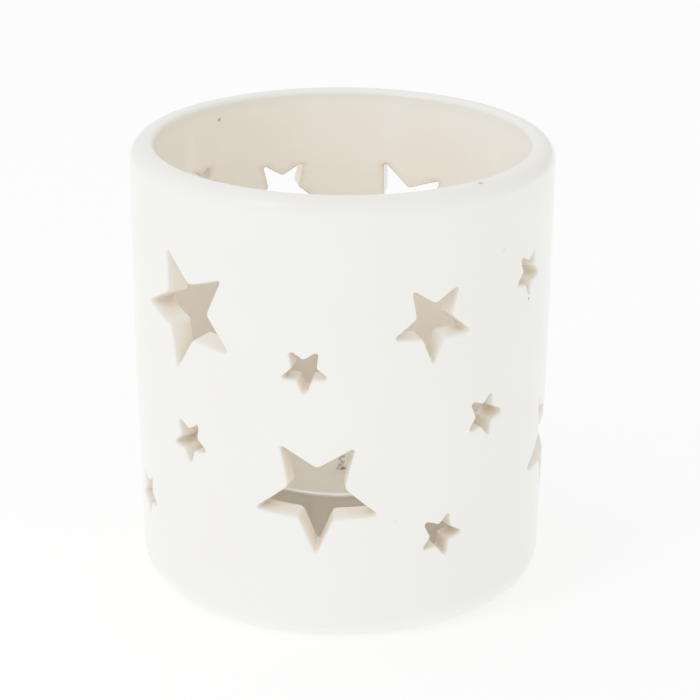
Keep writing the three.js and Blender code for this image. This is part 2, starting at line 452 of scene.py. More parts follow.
@dataclass
class Holder:
    """The fired clay body: floor on a foot ring, flared wall, rounded rim and star cuts.

    The shoulder line is a darker, creamier band painted round the rim's outer shoulder: how far in
    it lies, how far it spreads and how strong it is.
    """

    height: float
    radius: float
    flare: float = 1.6
    bulge: float = 0.22
    wall: float = 4.26
    floor: float = 4.6
    rim_outer: float = 2.8
    rim_inner: float = 0.9
    corner: float = 5.7
    floor_round: float = 4.0
    foot_width: float = 3.4
    foot_rise: float = 0.7
    foot_slope: float = 1.2
    bare_rise: float = 0.25
    bare_reach: float = 1.2
    outer_lip: float = 0.42
    inner_lip: float = 0.35
    cut_taper: float = 0.87
    cut_wobble: float = 0.06
    lip_rows: int = 6
    lip_in_notch: float = 0.7
    # How the thin glaze, with its painted shade, spreads in a cut: its share at the lip and the
    # depth where it is full.
    thin_at_lip: float = 0.45
    thin_depth: float = 0.3
    # Painted shade in the cuts' points: how fast the cut widens from its tip, and the width where
    # the shade ends.
    point_slope: float = 0.4
    drained_width: float = 2.2
    shoulder_line: tuple[float, float, float] = (1.5, 0.45, 0.4)
    columns: int = 192
    seam: float = -87.0
    stars: tuple[StarHole, ...] = STARS

    @property
    def side_top(self) -> float:
        """Height where the rim's rounding begins."""
        return self.height - self.rim_outer

    @property
    def floor_top(self) -> float:
        """Height of the floor inside."""
        return self.foot_rise + self.floor

    @property
    def inside_bottom(self) -> float:
        """Height where the inside of the wall meets the floor's rounding."""
        return self.floor_top + self.floor_round

    def outside_radius(self, z: Array) -> Array:
        """Outside radius at heights: a straight flare plus a parabola that swells its middle."""
        share = (z - self.corner) / (self.side_top - self.corner)
        straight = self.radius - self.flare * (1 - share)
        return straight + self.bulge * 4 * share * (1 - share)

    def wall_normal(self, azimuth: Array, z: Array) -> Array:
        """Outward normals of the wall: the outward vector less the radius's slope upwards."""
        step = 0.01
        slope = (self.outside_radius(z + step) - self.outside_radius(z - step)) / (2 * step)
        return unit(radial(azimuth) - slope[..., None] * np.array([0.0, 0.0, 1.0]))

    def foot_profile(self) -> Array:
        """The section from near the middle of the underside to the bottom of the wall."""
        outer = self.radius - self.flare - self.corner
        inner = outer - self.foot_width
        recess = np.linspace(4.0, inner - self.foot_slope, 7)
        share = np.linspace(0, 1, 9)[1:]
        slope_r = inner - self.foot_slope * (1 - share)
        slope_z = self.foot_rise * (0.5 + 0.5 * np.cos(math.pi * share))
        flat = np.linspace(inner, outer, 6)[1:-1]
        return np.concatenate([
            np.stack([recess, np.full(recess.shape, self.foot_rise)], axis=-1),
            np.stack([slope_r, slope_z], axis=-1),
            np.stack([flat, np.zeros(flat.shape)], axis=-1),
            arc((outer, self.corner), self.corner, -90, 0, 18),
        ])

    def rim_profile(self) -> Array:
        """The section over the rim, from the top of the side to the inside of the wall."""
        inside_top = self.height - self.rim_inner
        inside = self.radius - self.wall
        return np.concatenate([
            arc((self.radius - self.rim_outer, self.side_top), self.rim_outer, 0, 90, 16),
            arc((inside + self.rim_inner, inside_top), self.rim_inner, 90, 180, 10),
            np.array([[inside, inside_top - 0.6], [inside, self.side_top]]),
        ])

    def floor_profile(self) -> Array:
        """The section from the bottom of the inside wall to near the middle of the floor."""
        bottom = self.inside_bottom
        inside = float(self.outside_radius(np.array(bottom))) - self.wall
        rounding = arc((inside - self.floor_round, bottom), self.floor_round, 0, -90, 12)
        flat = np.linspace(inside - self.floor_round, 4.0, 8)[1:]
        return np.concatenate([
            rounding, np.stack([flat, np.full(flat.shape, self.floor_top)], axis=-1),
        ])

    def tunnel(self, shell: Shell, star: StarHole) -> Index:
        """Cuts one star: a lip-to-lip profile carried along the cutter's outline.

        The profile starts on the outside of the wall, turns a quarter circle into the cut, runs
        straight to the inside, narrowing, and turns a quarter circle out again. Across the cut it
        moves the outline along its normals, and along the cut it moves between the outer face, at
        the root of radius squared less sideways squared, and the inner face, worked out the same
        way.

        Args:
            shell: The surface to add to.
            star: The star to cut.

        Returns:
            Point numbers as (profile, outline). The first row is on the outside.
        """
        cutter = star.cut.value
        outline, into_clay = cutter.outline()
        along = TAU * np.arange(len(outline)) / len(outline)
        uneven = np.sin(3 * along + star.azimuth) + 0.6 * np.sin(8 * along + 2 * star.turn)
        outline = outline + into_clay * (self.cut_wobble * uneven)[:, None]
        turn = math.radians(star.turn)
        spin = np.array([[math.cos(turn), math.sin(turn)], [-math.sin(turn), math.cos(turn)]])
        outline, into_clay = outline @ spin, into_clay @ spin
        quarter = np.linspace(0, math.pi / 2, self.lip_rows)
        lip = min(self.outer_lip, self.lip_in_notch * cutter.notch_round)
        middle = np.linspace(lip / self.wall, 1 - self.inner_lip / self.wall, 9)[1:-1]
        nothing = np.zeros(middle.shape)
        swing, depth = 1 - np.sin(quarter), 1 - np.cos(quarter)
        across = np.concatenate([lip * swing, nothing, self.inner_lip * swing[::-1]])
        inward = np.concatenate([-lip * depth, nothing, self.inner_lip * depth[::-1]])
        share = np.concatenate([np.zeros_like(quarter), middle, np.ones_like(quarter)])[:, None]
        narrow = 1 - (1 - self.cut_taper) * share[..., None]
        place = outline[None] * narrow + into_clay[None] * across[:, None, None]
        sideways, z = place[..., 0], self.height * star.rise + place[..., 1]
        outside = self.outside_radius(z)
        outer_face = np.sqrt(outside**2 - sideways**2)
        inner_face = np.sqrt((outside - self.wall) ** 2 - sideways**2)
        reach = (1 - share) * outer_face + share * inner_face + inward[:, None]
        azimuth = math.radians(star.azimuth)
        outward = radial(np.array(azimuth))
        right = np.array([math.cos(azimuth), math.sin(azimuth), 0.0])
        upward = np.array([0.0, 0.0, 1.0])
        points = sideways[..., None] * right + z[..., None] * upward + reach[..., None] * outward
        round_it = np.roll(points, -1, axis=1) - np.roll(points, 1, axis=1)
        normals = unit(np.cross(round_it, np.gradient(points, axis=0)))
        for row, sign in ((0, 1.0), (-1, -1.0)):
            at = points[row]
            faces = self.wall_normal(np.arctan2(at[:, 0], -at[:, 1]), at[:, 2])
            normals[row] = sign * faces
        # Thin glaze with painted shade, painted shade in the points, and painted bounce light
        # towards the inside.
        thin, stain = self.cut_glaze(cutter, outline, quarter, middle)
        numbers = shell.add_points(points, normals, thin_glaze=thin, inner_glaze=share,
                                   tip_stain=stain)
        shell.add_grid(numbers)
        return numbers

    def cut_glaze(self, cutter: Cutter, outline: Array, quarter: Array,
                  middle: Array) -> tuple[Array, Array]:
        """How thin the glaze lies in a cut, and how much painted shade darkens the cut's points.

        The thin glaze, its colour also painted shade, spreads over the outer lip and a little way
        in. The painted shade in the points grows inwards, and with the narrowness of the cut, whose
        width is the distance to the tip times a constant.

        Args:
            cutter: The cutter that made the cut.
            outline: The cut's outline.
            quarter: The angles along a lip.
            middle: The shares of the wall's depth between the lips.

        Returns:
            The thin glaze with its painted shade as (profile, 1) and the points' painted shade as
            (profile, outline).
        """
        at_lip = self.thin_at_lip
        beyond = at_lip + (1 - at_lip) * np.minimum(middle / self.thin_depth, 1)
        inner = 0.5 + 0.5 * np.sin(quarter[::-1])
        thin = np.concatenate([at_lip * np.sin(quarter), beyond, inner])[:, None]
        # Painted shade in the points: stronger deeper in and where the cut narrows.
        inner = 0.7 + 0.3 * np.sin(2 * quarter)
        stain = np.concatenate([np.zeros_like(quarter), 0.7 * middle, inner])[:, None]
        width = self.point_slope * (cutter.tip - np.linalg.norm(outline, axis=-1))
        return thin, stain * np.clip(1 - width / self.drained_width, 0, 1)

    def sheet(self, shell: Shell, borders: tuple[Index, Index], rings: list[Index],
              inside: bool) -> None:
        """Fills one face of the wall between its two borders and round the star rings.

        The face is a function of azimuth and height: the outside radius there, less the wall's
        thickness on the inside. It is evaluated on a staggered lattice of points that keeps clear
        of the stars, and the lattice, borders and rings are joined by a constrained Delaunay
        triangulation of the unrolled wall.

        Args:
            shell: The surface to add to.
            borders: Numbers of the lower and the upper border's points.
            rings: Numbers of each star's ring of points on this face.
            inside: Whether this is the inner face.
        """
        points = shell.all_points()
        thickness = self.wall if inside else 0.0
        mean = self.radius - thickness
        seam = math.radians(self.seam)
        low, high = points[borders[0][0], 2], points[borders[1][0], 2]
        step = TAU * mean / self.columns
        rows = round((high - low) / (step * math.sin(math.pi / 3)))
        z = np.repeat(np.linspace(low, high, rows + 1)[1:-1], self.columns)
        shift = np.repeat(np.arange(rows - 1) % 2 * 0.5, self.columns)
        column = np.tile(np.arange(self.columns), rows - 1) + shift
        flat = np.stack([column * step, z], axis=-1)
        loops = []
        keep = np.ones(len(flat), bool)
        for ring in rings:
            at = points[ring]
            turn = (np.arctan2(at[:, 0], -at[:, 1]) - seam) % TAU
            loop = np.stack([turn * mean, at[:, 2]], axis=-1)
            loops.append(loop)
            centre = loop.mean(axis=0)
            near = np.linalg.norm(flat - centre, axis=1) < np.ptp(loop, axis=0).max()
            close = is_inside(loop, flat[near]) | (clearance(loop, flat[near]) < 0.5 * step)
            keep[np.flatnonzero(near)[close]] = False
        flat, column, z = flat[keep], column[keep], z[keep]
        azimuth = seam + TAU * column / self.columns
        radius = self.outside_radius(z) - thickness
        place = radius[:, None] * radial(azimuth) + z[:, None] * np.array([0.0, 0.0, 1.0])
        facing = self.wall_normal(azimuth, z) * (-1.0 if inside else 1.0)
        numbers = shell.add_points(place, facing, inner_glaze=float(inside))
        wrapped = column == 0
        sides = step * np.arange(self.columns + 1)
        border_flat = [np.stack([sides, np.full(sides.shape, h)], axis=-1) for h in (low, high)]
        border_numbers = [np.append(border, border[0]) for border in borders]
        again = flat[wrapped] + np.array([TAU * mean, 0.0])
        all_flat = np.concatenate([*loops, *border_flat, flat, again])
        all_numbers = np.concatenate([*rings, *border_numbers, numbers, numbers[wrapped]])
        shell.faces.append(all_numbers[fill_between(all_flat, loops, clockwise=inside)])

    def build(self) -> bpy.types.Object:
        """Makes the whole body as one closed surface.

        Returns:
            The body's object.
        """
        # Marks: thin glaze with painted shade, painted bounce light inside the pot, bare clay, and
        # painted shade in the cuts' points.
        shell = Shell("thin_glaze", "inner_glaze", "dry_clay", "tip_stain")
        foot = self.foot_profile()
        outer = self.radius - self.flare - self.corner
        bare = (foot[:, 1] < self.bare_rise) & (foot[:, 0] < outer + self.bare_reach)
        numbers = [
            shell.add_points(*revolve(foot, self.columns, self.seam),
                             dry_clay=bare.astype(float)[:, None]),
        ]
        rim = self.rim_profile()
        down = np.clip((self.height - rim[:, 1]) / self.rim_outer, 0, 1)
        # Painted bounce light: the rim's inner side takes the brighter, warmer inside colour.
        inner_side = np.where(rim[:, 0] < self.radius - self.wall + self.rim_inner, down, 0.0)
        # A darker, creamier band painted round the rim's outer shoulder, through the
        # thin-glaze-and-shade mark.
        inset, spread, strength = self.shoulder_line
        shoulder = strength * np.exp(-(((rim[:, 0] - self.radius + inset) / spread) ** 2))
        numbers.append(
            shell.add_points(*revolve(rim, self.columns, self.seam),
                             inner_glaze=inner_side[:, None], thin_glaze=shoulder[:, None]))
        floor = self.floor_profile()
        numbers.append(
            shell.add_points(*revolve(floor, self.columns, self.seam), inner_glaze=1.0))
        for grid in numbers:
            shell.add_grid(grid)
        shell.add_pole(numbers[0][0], self.foot_rise, up=False)
        shell.add_pole(numbers[2][-1], self.floor_top, up=True, inner_glaze=1.0)
        tunnels = [self.tunnel(shell, star) for star in self.stars]
        self.sheet(shell, (numbers[0][-1], numbers[1][0]), [t[0] for t in tunnels], inside=False)
        self.sheet(shell, (numbers[2][0], numbers[1][-1]), [t[-1] for t in tunnels], inside=True)
        return shell.build("pierced_ceramic_body", Handwork(self.height))


# ---- Tealight --------------------------------------------------------------------------------


@dataclass
class Tealight:
    """The loose tealight: fluted metal cup, wax, braided wick and the sustainer that holds it.

    Heights count from the cup's underside, which stands at the base. The wax's climb and its
    length have one value at the cup and one at the wick.
    """

    base: float
    cup_radius: float = 18.7
    cup_height: float = 15.5
    cup_wall: float = 0.3
    cup_corner: float = 1.2
    bead: float = 0.45
    flutes: int = 48
    flute_depth: float = 0.14
    wax_gap: float = 0.05
    wax_top: float = 12.8
    seat: float = 0.6
    pocket_top: float = 1.3
    wax_climb: tuple[float, float] = (0.45, 0.5)
    climb_length: tuple[float, float] = (0.4, 0.45)
    wax_sink: float = 0.45
    wax_wave: float = 0.06
    strands: int = 3
    strand_radius: float = 0.25
    strand_swing: tuple[float, float] = (0.45, 0.3)
    plait_pitch: float = 3.3
    plies: int = 5
    ply_turn: float = 4.2
    ply_depth: float = 0.1
    wick_gap: float = 0.03
    wick_top: float = 19.8
    wick_lean: float = 0.7
    plate_radius: float = 6.4
    plate_thickness: float = 0.2
    neck_bore: float = 1.05
    neck_wall: float = 0.25
    neck_top: float = 4.8
    crimp_height: float = 3.6
    crimp_depth: float = 0.2
    crimps: int = 4

    def flute(self, azimuth: Array, z: Array) -> Array:
        """How far the fluted wall is pressed in: a raised cosine round the cup, fading at both
        ends of the wall."""
        fade = np.clip((z - 1.0) / 1.5, 0, 1) * np.clip((self.cup_height - 1.6 - z) / 1.5, 0, 1)
        return self.flute_depth * fade * (0.5 - 0.5 * np.cos(self.flutes * azimuth))

    def press_flutes(self, points: Array, normals: Array) -> tuple[Array, Array]:
        """Presses the flutes into a turned grid.

        A point near the wall moves inwards by the flute's depth, and its normal is worked out
        again from the cross product of the grid's own tangents.

        Args:
            points: Grid of (rows, columns, 3).
            normals: Normals of the unpressed grid.

        Returns:
            The pressed grid and its normals.
        """
        azimuth = np.arctan2(points[..., 0], -points[..., 1])
        radius = np.hypot(points[..., 0], points[..., 1])
        near = np.clip((radius - self.cup_radius + 1.0) / 0.5, 0, 1)
        pressed = points - (near * self.flute(azimuth, points[..., 2]))[..., None] * radial(azimuth)
        round_it = np.roll(pressed, -1, axis=1) - np.roll(pressed, 1, axis=1)
        fresh = unit(np.cross(round_it, np.gradient(pressed, axis=0)))
        return pressed, np.where(near[..., None] > 0, fresh, normals)

    def base_relief(self, radius: Array) -> Array:
        """Embossing of the cup's floor: a raised middle and one raised ring."""
        middle = 0.14 / (1 + np.exp((radius - 10.5) / 0.35))
        ring = 0.12 * np.exp(-(((radius - 14.0) / 0.5) ** 2))
        return middle + ring

    def cup(self) -> bpy.types.Object:
        """Makes the cup: a thin turned shell with a rolled lip, pressed flutes and an embossed
        floor.

        Returns:
            The cup's object.
        """
        inside = self.cup_radius - self.cup_wall
        lip = self.cup_height - self.bead
        floor = np.linspace(1.5, self.cup_radius - self.cup_corner, 52)[:-1]
        wall = np.linspace(self.cup_corner, lip - self.bead - 0.1, 26)[1:]
        inner_wall = np.linspace(lip, self.cup_corner, 24)[1:-1]
        inner_corner = self.cup_corner - self.cup_wall
        inner_floor = np.linspace(inside - inner_corner, 1.5, 52)[1:]
        profile = np.concatenate([
            np.stack([floor, self.base_relief(floor)], axis=-1),
            arc((self.cup_radius - self.cup_corner, self.cup_corner), self.cup_corner, -90, 0, 8),
            np.stack([np.full(wall.shape, self.cup_radius), wall], axis=-1),
            arc((inside + self.bead, lip), self.bead, -75, 180, 18),
            np.stack([np.full(inner_wall.shape, inside), inner_wall], axis=-1),
            arc((inside - inner_corner, self.cup_corner), inner_corner, 0, -90, 6),
            np.stack([inner_floor, self.cup_wall + self.base_relief(inner_floor)], axis=-1),
        ])
        shell = Shell()
        numbers = shell.add_points(*self.raised(*self.press_flutes(*revolve(profile, 288))))
        shell.add_grid(numbers)
        shell.add_pole(numbers[0], self.base + profile[0, 1], up=False)
        shell.add_pole(numbers[-1], self.base + profile[-1, 1], up=True)
        return shell.build("fluted_tealight_cup")

    def raised(self, points: Array, normals: Array) -> tuple[Array, Array]:
        """A grid moved up to where the tealight stands, with its normals as they are."""
        return points + np.array([0.0, 0.0, self.base]), normals

    def wax(self) -> bpy.types.Object:
        """Makes the wax: a turned ring that climbs at the cup and the wick, sinks between them and
        leaves room for the sustainer below.

        The climb at each edge is an exponential of the distance to it, the sink is a parabola, and
        slow waves keep the cooled face from being perfectly even.

        Returns:
            The wax's object.
        """
        radius = self.cup_radius - self.cup_wall - self.wax_gap
        corner = self.cup_corner
        bore = self.strand_swing[0] + self.strand_radius + self.wick_gap
        neck, plate = self.neck_bore + 0.8, self.plate_radius + 0.3
        across = (np.linspace(0, 1, 60)[:-1] ** 0.8 * (radius - 1.2))[::-1]
        across = across[across > bore + 1.5]
        edge = radius - np.linspace(0, 1.1, 9)
        near_wick = bore + np.linspace(1.4, 0, 10)
        top = np.concatenate([edge, across, near_wick])
        at_cup = self.wax_climb[0] * np.exp(-(radius - top) / self.climb_length[0])
        climb = at_cup + self.wax_climb[1] * np.exp(-(top - bore) / self.climb_length[1])
        sink = self.wax_sink * (1 - (top / radius) ** 2)
        wall = np.linspace(self.seat + corner, self.wax_top - 0.2, 22)
        profile = np.concatenate([
            np.array([[plate, self.seat], [plate + 0.4, self.seat]]),
            arc((radius - corner, self.seat + corner), corner, -90, 0, 6),
            np.stack([np.full(wall.shape, radius), wall], axis=-1)[1:],
            np.stack([top, self.wax_top + climb - sink - 0.1], axis=-1),
            np.array([[bore, 11.5], [bore, 8.0], [bore, self.neck_top + 0.3],
                      [neck, self.neck_top + 0.3], [neck, 3.0], [neck, self.pocket_top],
                      [plate, self.pocket_top]]),
        ])
        points, normals = self.press_flutes(*revolve(profile, 192))
        azimuth = np.arctan2(points[..., 0], -points[..., 1])
        far = np.hypot(points[..., 0], points[..., 1])
        share = np.clip((points[..., 2] - 12.0) / 0.4, 0, 1) * np.clip((far - 2) / 3, 0, 1)
        uneven = np.sin(2 * azimuth + far / 3.1) + 0.7 * np.sin(3 * azimuth - far / 2.2 + 1)
        points[..., 2] += self.wax_wave * share * uneven
        shell = Shell("edge_wax")
        rim = np.exp(-(radius - far) / 1.2) * (points[..., 2] > 12.0)
        numbers = shell.add_points(*self.raised(points, normals), edge_wax=rim)
        shell.add_grid(numbers, along=True)
        return shell.build("poured_wax")

    def wick(self) -> bpy.types.Object:
        """Makes the wick: twisted strands in a flat plait.

        A strand's middle swings sideways by a sine of the height and back and forth by the sine
        of twice that angle, an equal share of a turn after its neighbour. Its section is a circle
        with shallow grooves between its plies, which turn as it rises. The free end leans a little.

        Returns:
            The wick's object.
        """
        # The groove mark carries painted shade between the plies.
        shell = Shell("fibre")
        height = np.linspace(self.seat, self.wick_top, 200)
        half = (self.wick_top - self.seat) / 2
        taper = np.sqrt(np.clip(1 - ((height - self.seat - half) / (half + 0.02)) ** 20, 0.02, 1))
        lean = self.wick_lean * np.clip((height - self.wax_top) / 7, 0, 1) ** 2
        turn = TAU * np.arange(20) / 20
        for strand in range(self.strands):
            angle = TAU * (height / self.plait_pitch + strand / self.strands)
            middle = np.stack([
                self.strand_swing[0] * np.sin(angle) + lean,
                self.strand_swing[1] * np.sin(2 * angle) - 0.6 * lean,
                height,
            ], axis=-1)
            ahead = unit(np.gradient(middle, axis=0))
            side = unit(np.cross(ahead, np.array([0.0, 1.0, 0.0])))
            front = np.cross(ahead, side)
            groove = 0.5 + 0.5 * np.cos(turn[None] * self.plies + height[:, None] * self.ply_turn)
            thick = (taper[:, None] * self.strand_radius) * (1 - self.ply_depth * groove)
            spoke = (np.cos(turn)[None, :, None] * side[:, None]
                     + np.sin(turn)[None, :, None] * front[:, None])
            points = middle[:, None] + thick[..., None] * spoke
            round_it = np.roll(points, -1, axis=1) - np.roll(points, 1, axis=1)
            normals = unit(np.cross(round_it, np.gradient(points, axis=0)))
            points = points + np.array([0.0, 0.0, self.base])
            numbers = shell.add_points(points, normals, fibre=groove)
            shell.add_grid(numbers)
            for ring, side_up in ((0, False), (-1, True)):
                self.close(shell, numbers[ring], points[ring], side_up)
        return shell.build("braided_wick")

    def close(self, shell: Shell, ring: Index, points: Array, up: bool) -> None:
        """Closes a strand's end with a fan to the middle of its ring."""
        centre = points.mean(axis=0, keepdims=True)
        normal = np.array([[0.0, 0.0, 1.0 if up else -1.0]])
        pole = np.broadcast_to(shell.add_points(centre, normal), ring.shape)
        after = np.roll(ring, -1)
        corners = [ring, after, pole] if up else [pole, after, ring]
        shell.faces.append(np.stack(corners, axis=-1))

    def sustainer(self) -> bpy.types.Object:
        """Makes the sustainer: a turned plate with a curled edge and a neck, crimped near its top
        by a cosine of the azimuth times the number of crimps.

        Returns:
            The sustainer's object.
        """
        thick = self.plate_thickness
        outer = self.neck_bore + self.neck_wall
        low = self.seat + 0.02
        under = np.linspace(outer + 0.3, self.plate_radius - 0.3, 16)
        rings = 0.1 * (0.5 - 0.5 * np.cos(TAU * np.clip((under - 3) / 2, 0, 1)))
        neck = np.linspace(low + 0.55, self.neck_top - 0.1, 22)
        profile = np.concatenate([
            np.stack([under, low + rings], axis=-1),
            arc((self.plate_radius - 0.1, low + thick / 2), thick / 2, -90, 90, 6),
            np.stack([under, low + rings + thick], axis=-1)[::-1],
            np.stack([np.full(neck.shape, outer), neck], axis=-1),
            arc((self.neck_bore + self.neck_wall / 2, self.neck_top - 0.1), self.neck_wall / 2,
                20, 160, 5),
            np.stack([np.full(neck.shape, self.neck_bore), neck], axis=-1)[::-1],
            np.array([[self.neck_bore + 0.05, low + thick], [outer, low]]),
        ])
        points, normals = revolve(profile, 96)
        azimuth = np.arctan2(points[..., 0], -points[..., 1])
        share = np.exp(-(((points[..., 2] - self.crimp_height) / 0.6) ** 2))
        press = self.crimp_depth * share * (0.5 + 0.5 * np.cos(self.crimps * azimuth))
        press = press * (points[..., 2] > 1.2)
        points = points - press[..., None] * radial(azimuth)
        shell = Shell()
        numbers = shell.add_points(*self.raised(points, normals))
        shell.add_grid(numbers, along=True)
        return shell.build("crimped_sustainer")


# ---- Node tools ------------------------------------------------------------------------------


class Nodes:
    """Short calls for wiring one node tree."""

    def __init__(self, tree: bpy.types.NodeTree) -> None:
        """Works on the given tree."""
        self.tree = tree

    def mark(self, name: str) -> Socket:
        """One of the mesh's own marks, as a number."""
        return self.add("Attribute", attribute_name=name).outputs["Fac"]

    def group(self, effect: bpy.types.NodeTree, **inputs: float) -> Socket:
        """Places a shared effect with its own values, and gives its first output."""
        node = self.add("Group", node_tree=effect)
        for name, value in inputs.items():
            self.feed(node.inputs[name], value)
        return node.outputs[0]

    def add(self, kind: str, **inputs: object) -> bpy.types.Node:
        """Adds a node and fills its inputs.

        Args:
            kind: The node's type name, without the ShaderNode prefix.
            **inputs: Settings and input values. A name that is one of the node's own settings
                is set, any other is an input, with underscores for spaces.

        Returns:
            The new node.
        """
        node = self.tree.nodes.new("ShaderNode" + kind)
        for name, value in inputs.items():
            if hasattr(node, name):
                setattr(node, name, value)
            else:
                self.feed(node.inputs[name.replace("_", " ")], value)
        return node

    def feed(self, socket: Socket, value: object) -> None:
        """Links an output into an input, or sets the input's own value."""
        if isinstance(value, Socket):
            self.tree.links.new(value, socket)
        else:
            socket.default_value = value

    def maths(self, operation: str, a: object, b: object = 0.0, clamp: bool = False) -> Socket:
        """One arithmetic step.

        Args:
            operation: Name of the Math node's operation.
            a: First number or output.
            b: Second number or output.
            clamp: Whether the result is kept between 0 and 1.

        Returns:
            The result.
        """
        node = self.add("Math", operation=operation, use_clamp=clamp)
        self.feed(node.inputs[0], a)
        self.feed(node.inputs[1], b)
        return node.outputs[0]

    def ramp(self, value: Socket, low: float, high: float, to: tuple[float, float]) -> Socket:
        """Carries a value from low..high smoothly to another range.

        Args:
            value: The value to carry over.
            low: Where the new range starts.
            high: Where the new range ends.
            to: The two ends of the new range.

        Returns:
            The new value.
        """
        node = self.add("MapRange", interpolation_type="SMOOTHSTEP", Value=value)
        node.inputs["From Min"].default_value = low
        node.inputs["From Max"].default_value = high
        node.inputs["To Min"].default_value = to[0]
        node.inputs["To Max"].default_value = to[1]
        return node.outputs["Result"]

    def mix(self, share: object, a: object, b: object) -> Socket:
        """A colour between a and b.

        Args:
            share: How much of b, from 0 to 1.
            a: First colour.
            b: Second colour.

        Returns:
            The mixed colour.
        """
        node = self.add("Mix", data_type="RGBA")
        self.feed(node.inputs["Factor"], share)
        self.feed(node.inputs[6], opaque(a))
        self.feed(node.inputs[7], opaque(b))
        return node.outputs[2]


def opaque(colour: object) -> object:
    """A colour of three numbers with full alpha, or an output as it is."""
    return colour if isinstance(colour, Socket) else (*colour, 1.0)


class EffectNodes(Nodes):
    """A shader node group under construction, with number sockets."""

    def __init__(self, name: str, inputs: dict[str, float], outputs: tuple[str, ...]) -> None:
        """Starts the group.

        Args:
            name: The group's name.
            inputs: Input names and their usual values.
            outputs: Output names.
        """
        super().__init__(bpy.data.node_groups.new(name, "ShaderNodeTree"))
        sockets = self.tree.interface
        for title, usual in inputs.items():
            socket = sockets.new_socket(title, in_out="INPUT", socket_type="NodeSocketFloat")
            socket.default_value = usual
        for title in outputs:
            sockets.new_socket(title, in_out="OUTPUT", socket_type="NodeSocketFloat")
        self.start = self.tree.nodes.new("NodeGroupInput").outputs
        self.end = self.tree.nodes.new("NodeGroupOutput").inputs


class Effects:
    """Node groups that several finishes share."""

    def __init__(self) -> None:
        """Builds every group once."""
        self.cloud = self.make_cloud()
        self.specks = self.make_specks()
        self.dot = self.make_dot()

    def make_cloud(self) -> bpy.types.NodeTree:
        """Soft drifting patches: fractal noise on object coordinates, spread to fill 0 to 1."""
        usual = {"Scale": 60.0, "Detail": 4.0, "Spread": 0.25}
        nodes = EffectNodes("soft_cloud", usual, ("Cloud",))
        noise = nodes.add("TexNoise", Vector=nodes.add("TexCoord").outputs["Object"],
                          Scale=nodes.start["Scale"], Detail=nodes.start["Detail"])
        low = nodes.maths("SUBTRACT", 0.5, nodes.start["Spread"])
        high = nodes.maths("ADD", 0.5, nodes.start["Spread"])
        spread = nodes.add("MapRange", Value=noise.outputs["Fac"])
        nodes.feed(spread.inputs["From Min"], low)
        nodes.feed(spread.inputs["From Max"], high)
        nodes.feed(nodes.end["Cloud"], spread.outputs["Result"])
        return nodes.tree

    def make_specks(self) -> bpy.types.NodeTree:
        """Small scattered dots: the cells of a Voronoi pattern, kept where the cell's own chance
        value is below a share, and filled up to a distance from the cell's point."""
        usual = {"Scale": 300.0, "Share": 0.1, "Size": 0.2}
        nodes = EffectNodes("scattered_specks", usual, ("Speck",))
        cell = nodes.add("TexVoronoi", Vector=nodes.add("TexCoord").outputs["Object"],
                         Scale=nodes.start["Scale"])
        chance = nodes.add("SeparateColor", Color=cell.outputs["Color"]).outputs["Red"]
        kept = nodes.maths("LESS_THAN", chance, nodes.start["Share"])
        edge = nodes.maths("DIVIDE", cell.outputs["Distance"], nodes.start["Size"])
        filled = nodes.ramp(edge, 0.4, 1.0, (1.0, 0.0))
        nodes.feed(nodes.end["Speck"], nodes.maths("MULTIPLY", kept, filled))
        return nodes.tree

    def make_dot(self) -> bpy.types.NodeTree:
        """One soft oval mark at a place: how near the point is to it, stretched sideways."""
        usual = {"X": 0.0, "Y": 0.0, "Z": 0.0, "Size": 0.5, "Flatness": 1.0}
        nodes = EffectNodes("single_mark", usual, ("Mark",))
        here = nodes.add("SeparateXYZ", Vector=nodes.add("TexCoord").outputs["Object"])
        total: object = 0.0
        for axis in "XYZ":
            gap = nodes.maths("SUBTRACT", nodes.maths("DIVIDE", here.outputs[axis], MM),
                              nodes.start[axis])
            if axis == "Z":
                gap = nodes.maths("MULTIPLY", gap, nodes.start["Flatness"])
            total = nodes.maths("ADD", total, nodes.maths("MULTIPLY", gap, gap))
        away = nodes.maths("DIVIDE", nodes.maths("SQRT", total), nodes.start["Size"])
        nodes.feed(nodes.end["Mark"], nodes.ramp(away, 0.35, 1.0, (1.0, 0.0)))
        return nodes.tree


@dataclass(frozen=True)
class GlazeMark:
    """A small flaw in the glaze: where it sits in millimetres, its size and its colour."""

    azimuth: float
    z: float
    size: float
    flatness: float
    colour: Colour
    strength: float
    inset: float = 0.0


class Finish:
    """What every finish shares: a fresh material with its nodes and a Principled shader."""

    name: str

    def start(self) -> tuple[bpy.types.Material, Nodes, bpy.types.Node]:
        """Makes an empty material.

        Returns:
            The material, short calls for its tree, and its shader.
        """
        material = bpy.data.materials.new(self.name)
        material.use_nodes = True
        material.node_tree.nodes.clear()
        nodes = Nodes(material.node_tree)
        shader = nodes.add("BsdfPrincipled")
        output = material.node_tree.nodes.new("ShaderNodeOutputMaterial")
        nodes.feed(output.inputs["Surface"], shader.outputs["BSDF"])
        return material, nodes, shader


